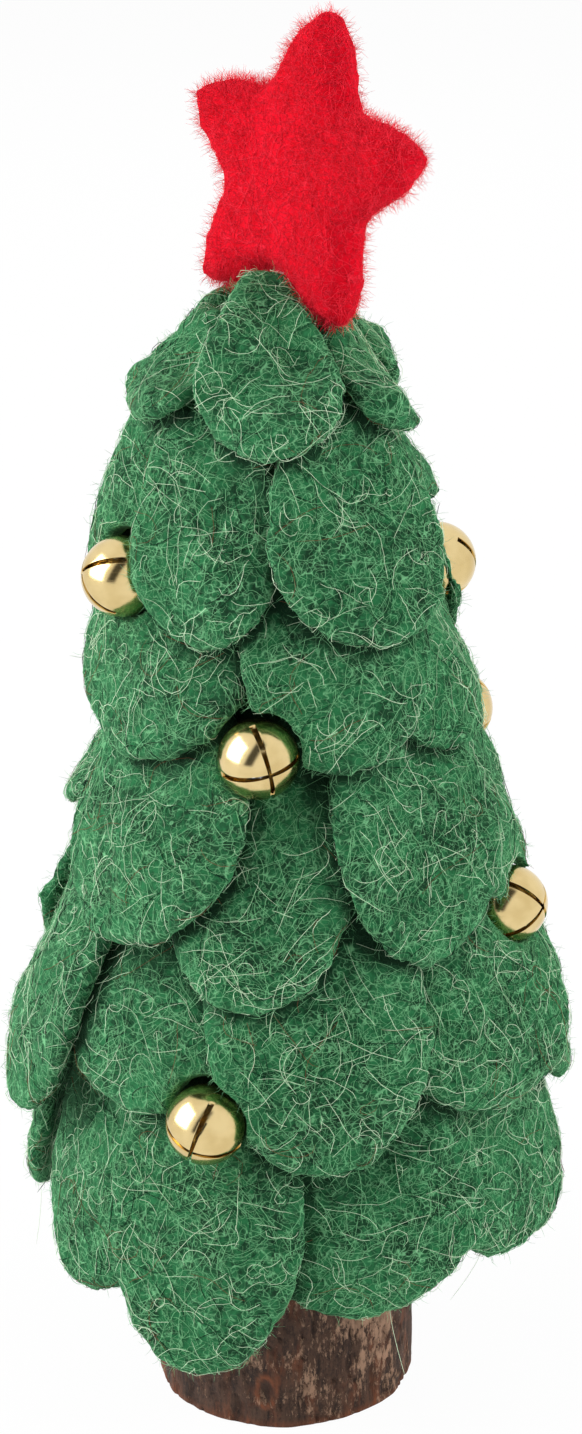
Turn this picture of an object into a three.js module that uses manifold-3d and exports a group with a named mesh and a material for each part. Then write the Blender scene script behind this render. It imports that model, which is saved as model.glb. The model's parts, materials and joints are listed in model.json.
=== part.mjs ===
// A small table-top christmas tree. A foam cone on a round of log carries six rows of thick
// felt petals, a puffy felt star stands on its tip, and jingle bells are sewn between the rows.
// Millimetres, +Z up. The origin is the centre of the sawn bottom of the log, and the front faces -Y.
// Azimuths are in degrees from the front, and grow towards +X.

import * as THREE from "three";
import { mergeVertices } from "three/addons/utils/BufferGeometryUtils.js";
import Module from "manifold-3d";

// Gaps and helpers shared by every piece
const clearance = 0.3;
const cutOverrun = 1;
const weldShare = 0.001;
const roundSides = 12;

// Log
const trunkDiameter = 41.2;
const trunkHeight = 37.7;
const trunkEdgeRound = 1.2;
const trunkEdgeSteps = 2;
const barkWave = 0.45;
const barkSides = 28;
const barkWaves = [
  { count: 3, share: 0.5, start: 1 },
  { count: 7, share: 0.3, start: 0 },
  { count: 12, share: 0.2, start: 2 },
];

// Peg between the log and the cone
const pegDiameter = 6;
const pegLength = 40;
const boreRadius = (pegDiameter / 2 + clearance) / Math.cos(Math.PI / roundSides);
const boreDepth = pegLength / 2 + clearance / 2;

// Foam cone
const coreBottomRadius = 34;
const coreHeight = 141;
const coreCapRadius = 9.5;
const coneLeanShare = -0.02;
const coneLeanPivotShare = 0.26;
const coreSides = 24;
const capSteps = 5;

// Felt petals
const feltThickness = 3;
const petalRim = 1.3;
const petalCrown = 0.9;

// Each row, from the bottom up. The tip level and the length are shares of the cone's height, the width is
// a share of the cone's bottom radius, and the flare, which is how far a petal stands off by itself, is a
// share of the felt's thickness. A petal is named by the side of the tree that it covers, and the petals
// stand in the order in which they are laid, so a later one laps over an earlier one. The rise is how much
// shorter than the row's length a petal is, and the lean swings it sideways about its upper end, in
// degrees. The top reach is how far it reaches past the row's upper level.
const petalRows = [
  {
    name: "row6",
    tipShare: -0.085,
    lengthShare: 0.305,
    widthShare: 1.12,
    flareShare: 1,
    sides: ["left", "back_right", "back_left", "right_back", "left_back", "right", "front_right", "front_left"],
    azimuths: [-59, 145, -160, 100, -108, 63, 18, -20],
    riseShares: [0.03, 0, -0.03, 0.06, 0.06, 0.13, 0.1, -0.1],
    widthShares: [0.9, 1.06, 1.04, 1.04, 1.04, 1.04, 1.06, 0.86],
    flareShares: [0.6, 1, 1, 0.7, 0.6, 1, 1, 1],
    leans: [12, 3, -3, -4, 5, -5, -3, 2],
    topWidthShare: 0.45,
  },
  {
    name: "row5",
    tipShare: 0.121,
    lengthShare: 0.326,
    widthShare: 1.12,
    flareShare: 2.8,
    sides: ["front_left", "left", "back_right", "back_left", "left_back", "right", "front_right", "front"],
    azimuths: [-36, -78, 135, -170, -130, 93, 54, 7],
    riseShares: [0.15, -0.06, 0.1, 0.08, 0.1, -0.07, 0.08, 0],
    widthShares: [1, 0.98, 1.04, 1.04, 0.94, 0.96, 1.08, 0.9],
    flareShares: [1, 1.05, 0.9, 0.8, 0.2, 1.15, 1, 1],
    leans: [4, 6, 3, -3, 2, -5, -6, 2],
    topWidthShare: 0.45,
  },
  {
    name: "row4",
    tipShare: 0.326,
    lengthShare: 0.312,
    widthShare: 1.06,
    flareShare: 1.2,
    sides: ["left_back", "back_right", "back", "front", "right", "front_left", "front_right"],
    azimuths: [-116, 132, 178, -9, 76, -46, 44],
    riseShares: [0.22, 0.04, 0, -0.1, 0.05, 0.04, -0.02],
    widthShares: [1.12, 1.08, 1.08, 0.86, 0.86, 1.1, 0.86],
    flareShares: [0, 0.2, 1, 1, 0.3, 1, 1],
    leans: [-3, 4, 5, 3, -5, 8, -10],
    topWidthShare: 0.45,
  },
  {
    name: "row3",
    tipShare: 0.528,
    lengthShare: 0.291,
    widthShare: 1,
    flareShare: 1,
    sides: ["right", "left_back", "back_right", "back", "front_left", "front_right"],
    azimuths: [60, -120, 130, 178, -49, 20],
    riseShares: [0.02, 0.26, 0.05, 0.04, 0, 0.02],
    widthShares: [0.92, 1.12, 1.14, 1.08, 1.16, 0.88],
    flareShares: [0, 0.5, 0.2, 1, 1.9, 1],
    leans: [-4, -3, 3, 4, 4, -4],
    topWidthShare: 0.45,
  },
  {
    name: "row2",
    tipShare: 0.663,
    lengthShare: 0.248,
    widthShare: 0.91,
    flareShare: 0.7,
    sides: ["right_back", "back_left", "back", "left", "front_left", "front_right"],
    azimuths: [112, -140, 165, -71, -26, 29],
    riseShares: [0.36, 0.06, 0.04, 0.06, -0.02, 0],
    widthShares: [0.96, 1.02, 1.02, 0.92, 0.84, 1],
    flareShares: [0, 1, 1, 0, 1, 0.8],
    leans: [-4, -3, 4, 5, 5, -2],
    topWidthShare: 0.45,
  },
  {
    name: "row1",
    tipShare: 0.855,
    lengthShare: 0.135,
    widthShare: 0.735,
    flareShare: 0.3,
    sides: ["back_right", "back_left", "left", "right", "front"],
    azimuths: [126, -140, -60, 57, -2],
    riseShares: [0.1, 0.1, 0.12, 0.06, 0],
    widthShares: [1.04, 1.08, 0.86, 0.88, 0.94],
    flareShares: [0.6, 0.6, 0, 0.3, 1],
    leans: [3, -3, 4, -4, 0],
    topWidthShare: 0.4,
    topReachShares: [0, 0, 0, 0, 0.2],
  },
];

// Outline of a petal, as shares of its length and width
const petalRiseStartShare = 0.1;
const petalRiseEndShare = 0.75;
const petalWidestShare = 0.56;
const petalRingShares = [0.4, 0.74];
const tipArcSteps = 4;
const sideSteps = 3;
const liftSmoothShare = 0.5;
const drapePasses = 12;
const clearPasses = 40;
const clearShare = 0.1;

// Star
const starRadius = 23.8;
const starNotchRadius = 12.2;
const starTipRound = 3.4;
const starNotchRound = 4;
const starThickness = 7.8;
const starEdgeRound = 3.4;
const starRise = 18;
const starSideways = 2.5;
const starForward = 2;
const starYaw = 44.5;
const starTilt = 15;
const starLeanBack = 14;
const starArms = 5;
const starEdgeSteps = 2;
const starCurveSteps = 2;

// Bells
const bellRadius = 6;
const bellWall = 0.6;
const slitArms = 4;
const slitPoleWidth = 0.9;
const slitEndWidth = 1.5;
const slitEndAngle = 76;
const shankWire = 0.45;
const shankLoopRadius = 1.25;
const shankWireSides = 4;
const shankLoopSides = 8;
const jingletRadius = 1.7;
const jingletSides = 8;
const jingletRings = 5;
const bellLift = 10;
const bellStand = 13;
const bellSides = 12;
const bellRings = 8;
const hollowSides = 10;
const hollowRings = 6;
const roomDetail = 1;
const roomFlatShare = 0.93;

// Places of the bells. The height is a share of the way up the cone, the turn and the pitch are the
// directions of the slit pole against the bell's own azimuth and the level, and the stand is how far out
// the bell's middle lies.
const bellPlaces = [
  { name: "bell_left_high", azimuth: -58, heightShare: 0.723, turn: -19, pitch: 11, slitTurn: 40, standShare: 0.85 },
  { name: "bell_right_high", azimuth: 106, heightShare: 0.691, turn: -13, pitch: -24, slitTurn: 30, standShare: 0.72 },
  { name: "bell_right_middle", azimuth: 112, heightShare: 0.511, turn: -8, pitch: -5, slitTurn: 20, standShare: 0.66 },
  { name: "bell_front_middle", azimuth: -5, heightShare: 0.567, turn: 22, pitch: -4, slitTurn: 13, standShare: 0.9 },
  { name: "bell_right_low", azimuth: 72, heightShare: 0.344, turn: -14, pitch: 8, slitTurn: 35, standShare: 0.85 },
  { name: "bell_front_low", azimuth: -16, heightShare: 0.184, turn: -6, pitch: -18, slitTurn: -20, standShare: 0.97 },
  { name: "bell_back_high", azimuth: 168, heightShare: 0.617, turn: 6, pitch: -6, slitTurn: 15, standShare: 0.95 },
  { name: "bell_back_low", azimuth: -142, heightShare: 0.227, turn: -5, pitch: -10, slitTurn: 25, standShare: 1 },
];

const degree = Math.PI / 180;
const wasm = await Module();
wasm.setup();

// A closed solid made from a three.js geometry.
function solidFrom(geometry) {
  const bare = geometry.clone();
  bare.deleteAttribute("normal");
  bare.deleteAttribute("uv");
  const merged = mergeVertices(bare, clearance * weldShare);
  const vertProperties = new Float32Array(merged.attributes.position.array);
  const triVerts = new Uint32Array(merged.index.array);
  return new wasm.Manifold(new wasm.Mesh({ numProp: 3, vertProperties, triVerts }));
}

// The three.js geometry of a solid.
function geometryFrom(solid) {
  const { vertProperties, triVerts } = solid.getMesh();
  const geometry = new THREE.BufferGeometry();
  geometry.setAttribute("position", new THREE.BufferAttribute(vertProperties, 3));
  geometry.setIndex(new THREE.BufferAttribute(triVerts, 1));
  geometry.computeVertexNormals();
  return geometry;
}

// The largest body of a solid, without the crumbs that a cut leaves.
function largestBody(solid) {
  const bodies = solid.decompose();
  return bodies.reduce((a, b) => (a.volume() > b.volume() ? a : b));
}

// The foam cone is a cone with a round cap that it touches smoothly. A place on or above it is given by
// the way down along its surface from the tip, the azimuth, and the height above its surface.
const coreBottomHeight = trunkHeight + clearance;
const coreTopHeight = coreBottomHeight + coreHeight;
const capCentreHeight = coreTopHeight - coreCapRadius;
const coreReach = Math.hypot(coreBottomRadius, capCentreHeight - coreBottomHeight);
const coreHalfAngle =
  Math.acos(coreCapRadius / coreReach) - Math.atan2(capCentreHeight - coreBottomHeight, coreBottomRadius);
const capWay = coreCapRadius * (Math.PI / 2 - coreHalfAngle);

function placeAbove(way, azimuth, height) {
  let radius;
  let z;
  if (way < capWay) {
    const rise = Math.PI / 2 - way / coreCapRadius;
    radius = (coreCapRadius + height) * Math.cos(rise);
    z = capCentreHeight + (coreCapRadius + height) * Math.sin(rise);
  } else {
    const down = way - capWay;
    radius = (coreCapRadius + height) * Math.cos(coreHalfAngle) + down * Math.sin(coreHalfAngle);
    z = capCentreHeight + (coreCapRadius + height) * Math.sin(coreHalfAngle) - down * Math.cos(coreHalfAngle);
  }
  return new THREE.Vector3(radius * Math.sin(azimuth), -radius * Math.cos(azimuth), z);
}

function coreCoordinates(point) {
  const radius = Math.hypot(point.x, point.y);
  const rise = point.z - capCentreHeight;
  const azimuth = Math.atan2(point.x, -point.y);
  const down = radius * Math.sin(coreHalfAngle) - rise * Math.cos(coreHalfAngle);
  if (down > 0) {
    const height = radius * Math.cos(coreHalfAngle) + rise * Math.sin(coreHalfAngle) - coreCapRadius;
    return { way: capWay + down, azimuth, height };
  }
  const way = coreCapRadius * (Math.PI / 2 - Math.atan2(rise, radius));
  return { way, azimuth, height: Math.hypot(radius, rise) - coreCapRadius };
}

// The way down to a level, for a surface that lies at a height above the cone.
function wayToLevel(z, height) {
  const drop = (coreCapRadius + height) * Math.sin(coreHalfAngle) + capCentreHeight - z;
  return capWay + drop / Math.cos(coreHalfAngle);
}

// The level at a share of the way up the cone.
function coreLevel(share) {
  return coreBottomHeight + share * coreHeight;
}

// The hand-cut cone leans a little to one side, and all that is fixed to it leans with it.
const coneLean = new THREE.Matrix4()
  .makeShear(0, 0, 0, 0, coneLeanShare, 0)
  .multiply(new THREE.Matrix4().makeTranslation(0, 0, -coreLevel(coneLeanPivotShare)))
  .premultiply(new THREE.Matrix4().makeTranslation(0, 0, coreLevel(coneLeanPivotShare)));

// What is laid so far: for each cell of the cone's surface, the height of the outermost felt.
const laidCell = feltThickness / 3;
const laidColumns = 180;
const laidRows = Math.ceil(wayToLevel(0, 0) / laidCell);
const laidHeights = new Float32Array(laidColumns * laidRows);

function laidIndex(way, azimuth, rowShift, columnShift) {
  const turn = ((azimuth / (2 * Math.PI)) % 1) + 1;
  const column = (Math.floor(turn * laidColumns) + columnShift + laidColumns) % laidColumns;
  const row = Math.floor(way / laidCell) + rowShift;
  return THREE.MathUtils.clamp(row, 0, laidRows - 1) * laidColumns + column;
}

function laidHeightAt(way, azimuth) {
  let height = 0;
  for (const rowShift of [-1, 0, 1]) {
    for (const columnShift of [-1, 0, 1]) {
      height = Math.max(height, laidHeights[laidIndex(way, azimuth, rowShift, columnShift)]);
    }
  }
  return height;
}

function stampPoint(point) {
  const { way, azimuth, height } = coreCoordinates(point);
  const index = laidIndex(way, azimuth, 0, 0);
  laidHeights[index] = Math.max(laidHeights[index], height);
}

// Evenly spread weights inside a triangle, for testing and stamping it.
const triangleWeights = [];
const weightSteps = 9;
for (let i = 0; i <= weightSteps; i++) {
  for (let j = 0; j <= weightSteps - i; j++) {
    triangleWeights.push([i / weightSteps, j / weightSteps, (weightSteps - i - j) / weightSteps]);
  }
}

// Outline of a petal seen flat, from the tip round to the tip again: across to the right, and down from
// its upper end. The lower part is a half ellipse, and the sides draw in towards the upper end.
function petalOutline({ length, halfWidth, topWidthShare }) {
  const widest = length * petalWidestShare;
  const rightSide = [];
  for (let step = 1; step <= tipArcSteps; step++) {
    const angle = ((step / tipArcSteps) * Math.PI) / 2;
    const down = widest + (length - widest) * Math.cos(angle);
    rightSide.push([halfWidth * Math.sin(angle), down]);
  }
  for (let step = 1; step <= sideSteps; step++) {
    const up = step / sideSteps;
    rightSide.push([halfWidth * (1 - (1 - topWidthShare) * up * up), widest * (1 - up)]);
  }
  const leftSide = rightSide.map(([across, down]) => [-across, down]).reverse();
  return [[0, length], ...rightSide, ...leftSide];
}

// How far a petal stands off by itself at a place down its length.
function naturalHeight(petal, across, down) {
  const share = down / petal.length;
  const free = THREE.MathUtils.smoothstep(share, petalRiseStartShare, petalRiseEndShare);
  const crown = petalCrown * (1 - (across / petal.halfWidth) ** 2);
  return clearance + (petal.flare + crown) * free;
}

// The radius on which a petal's width is wrapped, at a place down its length.
function girthAt(petal, down) {
  const way = Math.max(capWay, petal.topWay + down);
  const height = naturalHeight(petal, 0, down) + petal.packing + feltThickness / 2;
  return -placeAbove(way, 0, height).y;
}

// The place on the cone of a point of a petal. The petal leans about its upper end. On the round cap it
// is wrapped like a band that passes over the cap, so it can reach past the tip of the cone.
function petalPlace(petal, across, down) {
  const side = across * Math.cos(petal.lean) + down * Math.sin(petal.lean);
  const way = petal.topWay + down * Math.cos(petal.lean) - across * Math.sin(petal.lean);
  const turn = side / girthAt(petal, down);
  if (way > capWay) return { way, azimuth: petal.azimuth + turn };
  const slope = way / coreCapRadius;
  const bend = side / (coreCapRadius + naturalHeight(petal, 0, down) + petal.packing + feltThickness / 2);
  const onBand = new THREE.Vector3(
    Math.sin(bend),
    Math.cos(bend) * Math.sin(slope),
    Math.cos(bend) * Math.cos(slope),
  );
  return {
    way: coreCapRadius * Math.acos(onBand.z),
    azimuth: petal.azimuth + Math.atan2(onBand.x, onBand.y),
  };
}

// The net of a petal: a centre, rings that follow the outline, and the outline itself, which is the rim.
function petalNet(petal) {
  const outline = petalOutline(petal);
  const centre = [0, petal.length * petalWidestShare];
  const towardsRim = (share) => outline.map(([across, down]) => [
    centre[0] + (across - centre[0]) * share,
    centre[1] + (down - centre[1]) * share,
  ]);
  const insetRing = outline.map(([across, down]) => {
    const reach = Math.hypot(across - centre[0], down - centre[1]);
    const share = 1 - petalRim / reach;
    return [centre[0] + (across - centre[0]) * share, centre[1] + (down - centre[1]) * share];
  });
  const flat = [centre, ...petalRingShares.flatMap(towardsRim), ...insetRing];
  const nodes = flat.map(([across, down]) => ({
    ...petalPlace(petal, across, down),
    natural: naturalHeight(petal, across, down),
    lift: 0,
  }));
  const rim = outline.map(([across, down]) => petalPlace(petal, across, down));
  const sides = outline.length;
  const triangles = [];
  for (let i = 0; i < sides; i++) {
    triangles.push([0, 1 + i, 1 + ((i + 1) % sides)]);
  }
  for (let ring = 0; ring < petalRingShares.length; ring++) {
    for (let i = 0; i < sides; i++) {
      const next = (i + 1) % sides;
      const inner = 1 + ring * sides;
      const outer = inner + sides;
      triangles.push([inner + i, outer + i, outer + next], [inner + i, outer + next, inner + next]);
    }
  }
  return { nodes, rim, sides, triangles, firstInset: nodes.length - sides };
}

// The points of one face of a petal: its inner face, or its outer face a felt's thickness further out.
function facePoints(net, offset) {
  return net.nodes.map(({ way, azimuth, natural, lift }) => placeAbove(way, azimuth, natural + lift + offset));
}

function rimPoints(net) {
  return net.rim.map(({ way, azimuth }, i) => {
    const inset = net.nodes[net.firstInset + i];
    return placeAbove(way, azimuth, inset.natural + inset.lift + feltThickness / 2);
  });
}

// The rim band of a face, from its inset ring out to the rim. Each corner gives the node that lifts it.
function rimBand(net) {
  const band = [];
  for (let i = 0; i < net.sides; i++) {
    const next = (i + 1) % net.sides;
    band.push([["face", i], ["rim", i], ["rim", next]], [["face", i], ["rim", next], ["face", next]]);
  }
  return band;
}

// Lifts the nodes of a petal where its inner face or rim runs into what is laid under it: in each
// triangle, the place that is deepest in sets the lift. Gives the deepest of all.
function liftClear(net) {
  let worst = 0;
  const sample = new THREE.Vector3();
  const clearTriangle = (corners, nodes) => {
    let deepest = { need: 0, weights: null };
    for (const weights of triangleWeights) {
      sample.set(0, 0, 0);
      corners.forEach((corner, k) => sample.addScaledVector(corner, weights[k]));
      const { way, azimuth, height } = coreCoordinates(sample);
      const need = laidHeightAt(way, azimuth) + clearance - height;
      if (need > deepest.need) deepest = { need, weights };
    }
    if (deepest.need === 0) return;
    worst = Math.max(worst, deepest.need);
    const strength = deepest.weights.reduce((sum, weight) => sum + weight * weight, 0);
    nodes.forEach((node, k) => {
      net.nodes[node].lift += (deepest.need * deepest.weights[k]) / strength;
    });
  };
  const facePoint = (node) => {
    const { way, azimuth, natural, lift } = net.nodes[node];
    return placeAbove(way, azimuth, natural + lift);
  };
  const rimPoint = (i) => {
    const inset = net.nodes[net.firstInset + i];
    return placeAbove(net.rim[i].way, net.rim[i].azimuth, inset.natural + inset.lift + feltThickness / 2);
  };
  for (const triangle of net.triangles) {
    clearTriangle(triangle.map(facePoint), triangle);
  }
  for (const corners of rimBand(net)) {
    const points = corners.map(([kind, i]) => (kind === "rim" ? rimPoint(i) : facePoint(net.firstInset + i)));
    clearTriangle(points, corners.map(([, i]) => net.firstInset + i));
  }
  return worst;
}

// Evens out the lift of neighbouring nodes, as stiff felt does.
function smoothLift(net) {
  const sums = net.nodes.map(() => [0, 0]);
  for (const triangle of net.triangles) {
    for (const [a, b] of [[0, 1], [1, 2], [2, 0]]) {
      sums[triangle[a]][0] += net.nodes[triangle[b]].lift;
      sums[triangle[a]][1] += 1;
      sums[triangle[b]][0] += net.nodes[triangle[a]].lift;
      sums[triangle[b]][1] += 1;
    }
  }
  net.nodes.forEach((node, i) => {
    node.lift = THREE.MathUtils.lerp(node.lift, sums[i][0] / sums[i][1], liftSmoothShare);
  });
}

function stampNet(net) {
  const face = facePoints(net, feltThickness);
  const rim = rimPoints(net);
  const stampTriangle = (corners) => {
    for (const weights of triangleWeights) {
      const sample = new THREE.Vector3();
      corners.forEach((corner, k) => sample.addScaledVector(corner, weights[k]));
      stampPoint(sample);
    }
  };
  net.triangles.forEach((triangle) => stampTriangle(triangle.map((node) => face[node])));
  rimBand(net).forEach((corners) =>
    stampTriangle(corners.map(([kind, i]) => (kind === "rim" ? rim[i] : face[net.firstInset + i]))),
  );
}

// The closed solid of a petal, thicker by a growth on each face where it is used to cut its neighbour.
function petalSolid(net, growth) {
  const inner = facePoints(net, -growth);
  const outer = facePoints(net, feltThickness + growth);
  const rim = rimPoints(net);
  const points = [...inner, ...outer, ...rim];
  const outerStart = inner.length;
  const rimStart = outerStart + outer.length;
  const indices = [];
  for (const [a, b, c] of net.triangles) {
    indices.push(outerStart + a, outerStart + b, outerStart + c, a, c, b);
  }
  for (let i = 0; i < net.sides; i++) {
    const next = (i + 1) % net.sides;
    const bands = [
      [outerStart + net.firstInset, rimStart],
      [rimStart, net.firstInset],
    ];
    for (const [from, to] of bands) {
      indices.push(from + i, to + i, to + next, from + i, to + next, from + next);
    }
  }
  const geometry = new THREE.BufferGeometry().setFromPoints(points);
  geometry.setIndex(indices);
  return solidFrom(geometry.applyMatrix4(coneLean));
}

// Drapes a petal over what is laid: it is lifted clear and evened out by turns, and ends clear.
function drape(petal) {
  const net = petalNet(petal);
  for (let pass = 0; pass < drapePasses; pass++) {
    liftClear(net);
    smoothLift(net);
  }
  for (let pass = 0; pass < clearPasses && liftClear(net) > clearance * clearShare; pass++);
  return net;
}

// Lays one petal on what is laid already. It is draped once to learn how far out it lies, and then again
// with its width wrapped on that girth.
function layPetal(row, index) {
  const length = row.lengthShare * coreHeight;
  const width = row.widthShare * coreBottomRadius;
  const flare = row.flareShare * feltThickness;
  const topReach = row.topReachShares ? row.topReachShares[index] * length : 0;
  const petal = {
    length: length * (1 - row.riseShares[index]) + topReach,
    halfWidth: (width * row.widthShares[index]) / 2,
    topWidthShare: row.topWidthShare,
    flare: flare * row.flareShares[index],
    azimuth: row.azimuths[index] * degree,
    lean: row.leans[index] * degree,
    topWay: wayToLevel(coreLevel(row.tipShare), flare) - length - topReach,
    packing: 0,
  };
  const lifts = drape(petal).nodes.map((node) => node.lift);
  petal.packing = lifts.reduce((sum, lift) => sum + lift, 0) / lifts.length;
  const net = drape(petal);
  stampNet(net);
  return net;
}

const tree = new THREE.Group();

function addPiece(parent, name, geometry, material) {
  const mesh = new THREE.Mesh(geometry, material.clone());
  mesh.name = name;
  parent.add(mesh);
  return mesh;
}

const bark = new THREE.MeshStandardMaterial({ color: 0x4f3e33, roughness: 0.95, metalness: 0 });
const pegWood = new THREE.MeshStandardMaterial({ color: 0xc9a877, roughness: 0.8, metalness: 0 });
const foam = new THREE.MeshStandardMaterial({ color: 0x2c4a36, roughness: 0.9, metalness: 0 });
const greenFelt = new THREE.MeshStandardMaterial({ color: 0x457552, roughness: 1, metalness: 0 });
const redFelt = new THREE.MeshStandardMaterial({ color: 0xd71728, roughness: 1, metalness: 0 });
const gold = new THREE.MeshStandardMaterial({ color: 0xebd7a5, roughness: 0.12, metalness: 1 });
const steel = new THREE.MeshStandardMaterial({ color: 0xb9bbbd, roughness: 0.25, metalness: 1 });

// A plain upright cylinder from one level to another.
function uprightCylinder(radius, bottom, top) {
  const cylinder = new THREE.CylinderGeometry(radius, radius, top - bottom, roundSides);
  cylinder.rotateX(Math.PI / 2);
  cylinder.translate(0, 0, (top + bottom) / 2);
  return cylinder;
}

// Log: an outline that waves like bark, with its sawn edges rounded over, bored for the peg.
function trunkGeometry() {
  const outline = [];
  for (let i = 0; i < barkSides; i++) {
    const angle = (2 * Math.PI * i) / barkSides;
    const wave = barkWaves.reduce((sum, { count, share, start }) => sum + share * Math.sin(count * angle + start), 0);
    const radius = trunkDiameter / 2 - trunkEdgeRound + barkWave * wave;
    outline.push(new THREE.Vector2(radius * Math.cos(angle), radius * Math.sin(angle)));
  }
  const log = new THREE.ExtrudeGeometry(new THREE.Shape(outline), {
    depth: trunkHeight - 2 * trunkEdgeRound,
    bevelThickness: trunkEdgeRound,
    bevelSize: trunkEdgeRound,
    bevelSegments: trunkEdgeSteps,
  });
  log.translate(0, 0, trunkEdgeRound);
  const bore = uprightCylinder(boreRadius, trunkHeight - boreDepth, trunkHeight + cutOverrun);
  return geometryFrom(solidFrom(log).subtract(solidFrom(bore)));
}

// Cone: a turned cone with the round cap, leaned over, with an upright blind bore for the peg.
function coreGeometry() {
  const profile = [new THREE.Vector2(0, coreBottomHeight), new THREE.Vector2(coreBottomRadius, coreBottomHeight)];
  for (let step = 0; step <= capSteps; step++) {
    const rise = THREE.MathUtils.lerp(coreHalfAngle, Math.PI / 2, step / capSteps);
    const radius = step === capSteps ? 0 : coreCapRadius * Math.cos(rise);
    profile.push(new THREE.Vector2(radius, capCentreHeight + coreCapRadius * Math.sin(rise)));
  }
  const cone = new THREE.LatheGeometry(profile, coreSides);
  cone.rotateX(Math.PI / 2);
  cone.applyMatrix4(coneLean);
  const bore = uprightCylinder(boreRadius, coreBottomHeight - cutOverrun, coreBottomHeight + boreDepth);
  return geometryFrom(solidFrom(cone).subtract(solidFrom(bore)));
}

// Star: the flat middle of the face is a star with slightly rounded corners, and a deep round edge puffs
// it out to its full size.
function starGeometry() {
  const shape = new THREE.Shape();
  const corner = (radius, turn) => new THREE.Vector2(radius * Math.sin(turn), radius * Math.cos(turn));
  const corners = [];
  for (let arm = 0; arm < starArms; arm++) {
    const turn = (arm * 2 * Math.PI) / starArms;
    corners.push({ at: corner(starRadius - starEdgeRound, turn), round: starTipRound });
    corners.push({ at: corner(starNotchRadius - starEdgeRound, turn + Math.PI / starArms), round: starNotchRound });
  }
  corners.forEach(({ at, round }, i) => {
    const before = corners[(i + corners.length - 1) % corners.length].at;
    const after = corners[(i + 1) % corners.length].at;
    const start = before.clone().sub(at).setLength(round).add(at);
    const end = after.clone().sub(at).setLength(round).add(at);
    if (i === 0) shape.moveTo(start.x, start.y);
    else shape.lineTo(start.x, start.y);
    shape.quadraticCurveTo(at.x, at.y, end.x, end.y);
  });
  shape.closePath();
  const star = new THREE.ExtrudeGeometry(shape, {
    depth: starThickness - 2 * starEdgeRound,
    bevelThickness: starEdgeRound,
    bevelSize: starEdgeRound,
    bevelSegments: starEdgeSteps,
    curveSegments: starCurveSteps,
  });
  star.translate(0, 0, starEdgeRound - starThickness / 2);
  return star;
}

// Bell: a thin hollow ball with its pole up, cut by two crossing slits that widen away from the pole,
// with a wire loop standing on the far pole. The loop's opening faces along X, as the stitch runs.
const bellInnerRadius = bellRadius - bellWall;

function upright(geometry) {
  geometry.rotateX(Math.PI / 2);
  return geometry;
}

function bellSlits(slitTurn) {
  const shape = new THREE.Shape();
  const reach = bellRadius * Math.sin(slitEndAngle * degree);
  for (let arm = 0; arm < slitArms; arm++) {
    const angle = (arm * 2 * Math.PI) / slitArms + slitTurn;
    const along = new THREE.Vector2(Math.cos(angle), Math.sin(angle));
    const across = new THREE.Vector2(-Math.sin(angle), Math.cos(angle));
    const corner = (distance, side) => along.clone().multiplyScalar(distance).addScaledVector(across, side);
    const points = [
      corner(slitPoleWidth / 2, -slitPoleWidth / 2),
      corner(reach, -slitEndWidth / 2),
      corner(reach + slitEndWidth / 2, 0),
      corner(reach, slitEndWidth / 2),
    ];
    points.forEach((point, i) => (arm + i === 0 ? shape.moveTo(point.x, point.y) : shape.lineTo(point.x, point.y)));
  }
  const bottom = bellRadius * Math.cos(slitEndAngle * degree);
  const slits = new THREE.ExtrudeGeometry(shape, { depth: bellRadius + cutOverrun - bottom, bevelEnabled: false });
  slits.translate(0, 0, bottom);
  return slits;
}

function bellShellGeometry(slitTurn) {
  const ball = solidFrom(upright(new THREE.SphereGeometry(bellRadius, bellSides, bellRings)));
  const hollow = solidFrom(upright(new THREE.SphereGeometry(bellInnerRadius, hollowSides, hollowRings)));
  const loop = new THREE.TorusGeometry(shankLoopRadius, shankWire, shankWireSides, shankLoopSides);
  loop.rotateY(Math.PI / 2);
  loop.translate(0, 0, -bellRadius);
  const slits = solidFrom(bellSlits(slitTurn));
  return geometryFrom(ball.add(solidFrom(loop)).subtract(hollow).subtract(slits));
}

// Jinglet: a plain ball. It lies as low in the bell as the hollow's flattest facet lets it.
function jingletGeometry() {
  return upright(new THREE.SphereGeometry(jingletRadius, jingletSides, jingletRings));
}

const hollowClearRadius =
  bellInnerRadius * Math.cos(Math.PI / hollowSides) * Math.cos(Math.PI / (2 * hollowRings));
const jingletReach = hollowClearRadius - clearance - jingletRadius;
const stitchReach = bellRadius + shankLoopRadius / 2;

// A bell's own frame: Z out through the slit pole, X level along the stitch, so that a turn about the
// stitch lifts the bell.
function bellFrame(place) {
  const stand = bellStand * place.standShare;
  const azimuth = place.azimuth * degree;
  const centre = placeAbove(wayToLevel(coreLevel(place.heightShare), stand), azimuth, stand);
  centre.applyMatrix4(coneLean);
  const poleAzimuth = azimuth + place.turn * degree;
  const pitch = place.pitch * degree;
  const level = Math.cos(pitch);
  const pole = new THREE.Vector3(level * Math.sin(poleAzimuth), -level * Math.cos(poleAzimuth), Math.sin(pitch));
  const stitch = new THREE.Vector3().crossVectors(pole, new THREE.Vector3(0, 0, 1)).normalize();
  const frame = new THREE.Group();
  const basis = new THREE.Matrix4().makeBasis(stitch, new THREE.Vector3().crossVectors(pole, stitch), pole);
  frame.setRotationFromMatrix(basis);
  frame.position.copy(centre);
  frame.updateMatrixWorld();
  return frame;
}

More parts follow.
